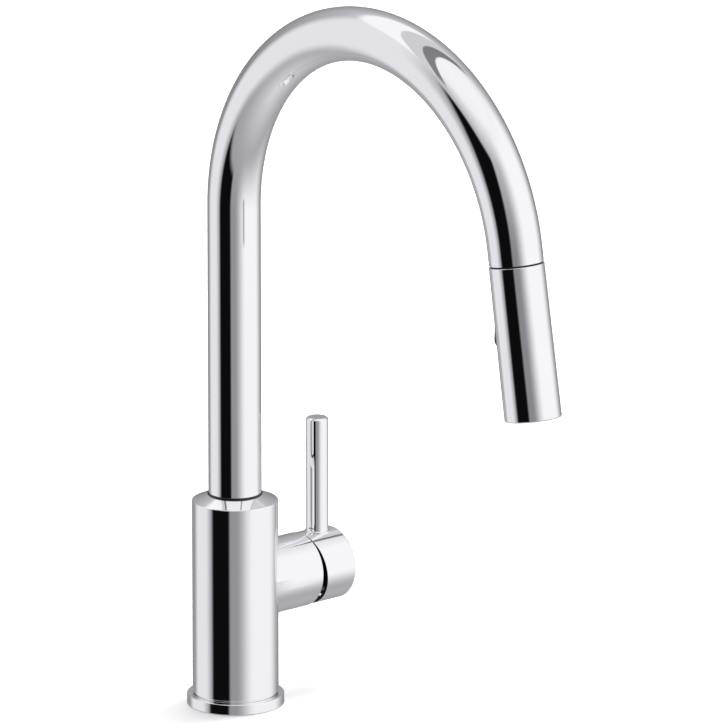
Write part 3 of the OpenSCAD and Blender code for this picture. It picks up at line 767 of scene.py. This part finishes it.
@dataclass
class Studio:
    """The camera, the pale floor, the lights and the surroundings that the chrome mirrors."""

    azimuth: float = -41.664
    elevation: float = 14.898
    lens: float = 493.95
    place: tuple[float, float, float] = (-3.4902, -4.0298, 1.6128)
    brightness: float = 1.02

    def camera(self) -> None:
        """Sets the camera at the view's angle."""
        data = bpy.data.cameras.new("view")
        data.lens, data.sensor_width = self.lens, 36
        data.clip_start, data.clip_end = 0.1, 100
        camera = bpy.data.objects.new("view", data)
        a, e = math.radians(self.azimuth), math.radians(self.elevation)
        back = Vector((math.sin(a) * math.cos(e), -math.cos(a) * math.cos(e), math.sin(e)))
        camera.location = self.place
        camera.rotation_mode = "QUATERNION"
        camera.rotation_quaternion = (-back).to_track_quat("-Z", "Y")
        bpy.context.scene.collection.objects.link(camera)
        bpy.context.scene.camera = camera

    def within(self, tree: bpy.types.NodeTree, value: bpy.types.NodeSocket, low: float, high: float,
               soft: float) -> bpy.types.NodeSocket:
        """Tells how far a value lies between two soft edges, all the way round a turn.

        Args:
            tree: The world's node tree.
            value: Socket with the value.
            low: The first edge.
            high: The second edge.
            soft: How wide each edge is.

        Returns:
            A socket with 1 between the edges and 0 beyond them.
        """
        middle, half = (low + high) / 2, (high - low) / 2
        off = add_node(tree, "ShaderNodeMath", {0: value, 1: middle}, operation="SUBTRACT").outputs[0]
        turned = add_node(tree, "ShaderNodeMath", {0: off, 1: 180.0, 2: -180.0}, operation="WRAP").outputs[0]
        away = add_node(tree, "ShaderNodeMath", {0: turned}, operation="ABSOLUTE").outputs[0]
        return add_node(tree, "ShaderNodeMapRange", {
            "Value": away, "From Min": half + soft / 2, "From Max": half - soft / 2},
            interpolation_type="SMOOTHSTEP").outputs["Result"]

    def surroundings(self) -> None:
        """Builds the grey room with its panels, which the chrome mirrors."""
        world = bpy.data.worlds.new("studio")
        bpy.context.scene.world = world
        world.use_nodes = True
        tree = world.node_tree
        tree.nodes.clear()
        way = add_node(tree, "ShaderNodeSeparateXYZ", {
            "Vector": add_node(tree, "ShaderNodeTexCoord").outputs["Generated"]}).outputs
        ahead = add_node(tree, "ShaderNodeMath", {0: way["Y"], 1: -1.0}, operation="MULTIPLY").outputs[0]
        turn = add_node(tree, "ShaderNodeMath", {0: way["X"], 1: ahead}, operation="ARCTAN2").outputs[0]
        rise = add_node(tree, "ShaderNodeMath", {0: way["Z"]}, operation="ARCSINE").outputs[0]
        height = add_node(tree, "ShaderNodeMath", {0: rise}, operation="DEGREES").outputs[0]
        sides = {
            Across.TURN: add_node(tree, "ShaderNodeMath", {0: turn}, operation="DEGREES").outputs[0],
            Across.REACH: add_node(tree, "ShaderNodeMath", {0: way["Y"], 1: way["Z"]},
                                   operation="DIVIDE").outputs[0]}
        share = add_node(tree, "ShaderNodeMapRange", {"Value": height, "From Min": -90.0, "From Max": 90.0})
        room = add_node(tree, "ShaderNodeValToRGB", {"Fac": share.outputs["Result"]})
        while len(room.color_ramp.elements) < len(ROOM):
            room.color_ramp.elements.new(0.5)
        for stop, (elevation, tone) in zip(room.color_ramp.elements, ROOM):
            stop.position, stop.color = (elevation + 90) / 180, linear(tone)
        colour = room.outputs["Color"]
        for panel in PANELS:
            mask = add_node(tree, "ShaderNodeMath", {
                0: self.within(tree, sides[panel.across], panel.left, panel.right, panel.soft),
                1: self.within(tree, height, panel.low, panel.high, panel.fade)}, operation="MULTIPLY")
            colour = add_node(tree, "ShaderNodeMix", {
                "Factor": mask.outputs[0], "A": colour, "B": linear(panel.tone)}, data_type="RGBA").outputs[2]
        seen = add_node(tree, "ShaderNodeLightPath").outputs["Is Camera Ray"]
        around = add_node(tree, "ShaderNodeBackground", {"Color": colour, "Strength": self.brightness})
        backdrop = add_node(tree, "ShaderNodeBackground", {"Color": (1, 1, 1, 1), "Strength": 1.0})
        mixed = add_node(tree, "ShaderNodeMixShader", {
            0: seen, 1: around.outputs["Background"], 2: backdrop.outputs["Background"]})
        add_node(tree, "ShaderNodeOutputWorld", {"Surface": mixed.outputs["Shader"]})

    def floor(self) -> None:
        """Lays the pale floor."""
        mesh = bpy.data.meshes.new("floor")
        bm = bmesh.new()
        bmesh.ops.create_circle(bm, cap_ends=True, segments=96, radius=30.0)
        bm.to_mesh(mesh)
        bm.free()
        material = bpy.data.materials.new("matt white paper")
        material.use_nodes = True
        tree = material.node_tree
        tree.nodes.clear()
        paper = add_node(tree, "ShaderNodeBsdfDiffuse", {"Color": linear("#F4F4F4")})
        below = add_node(tree, "ShaderNodeBsdfTransparent")
        mixed = add_node(tree, "ShaderNodeMixShader", {
            0: add_node(tree, "ShaderNodeNewGeometry").outputs["Backfacing"],
            1: paper.outputs["BSDF"], 2: below.outputs["BSDF"]})
        add_node(tree, "ShaderNodeOutputMaterial", {"Surface": mixed.outputs["Shader"]})
        mesh.materials.append(material)
        floor = bpy.data.objects.new("floor", mesh)
        floor.visible_glossy = False
        bpy.context.scene.collection.objects.link(floor)

    def lamps(self) -> None:
        """Hangs the soft lamps that light the floor and the plain parts."""
        for name, place, size, power in (
                ("overhead softbox", (0.5, 0.4, 2.7), 1.8, 55.0),
                ("side softbox", (2.1, -0.1, 1.5), 1.2, 45.0)):
            data = bpy.data.lights.new(name, "AREA")
            data.shape, data.size, data.energy = "DISK", size, power
            lamp = bpy.data.objects.new(name, data)
            lamp.location = place
            lamp.rotation_mode = "QUATERNION"
            lamp.rotation_quaternion = (Vector((0, 0, 0.1)) - Vector(place)).to_track_quat("-Z", "Y")
            lamp.visible_glossy = False
            bpy.context.scene.collection.objects.link(lamp)

    def build(self) -> None:
        """Sets the whole studio."""
        self.camera()
        self.surroundings()
        self.floor()
        self.lamps()
        view = bpy.context.scene.view_settings
        view.view_transform, view.look, view.exposure, view.gamma = "Standard", "None", 0.0, 1.0


def dress_frame() -> None:
    """Gives every CAD node the material of its slot."""
    slots = {p["node"]: p["material_slot"] for p in frame["record"]["subparts"]}
    for name, obj in frame["nodes"].items():
        finish = FINISHES[slots[name]]
        obj.data.materials.clear()
        obj.data.materials.append(finish.build())


def main() -> None:
    """Builds the studio and every sub-assembly in order."""
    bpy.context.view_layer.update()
    Studio().build()
    dress_frame()
    for part in (Body(), Spout(), Head(), Lever()):
        part.build()
        log.info("%s built", type(part).__name__)


if __name__ == "__main__":
    main()
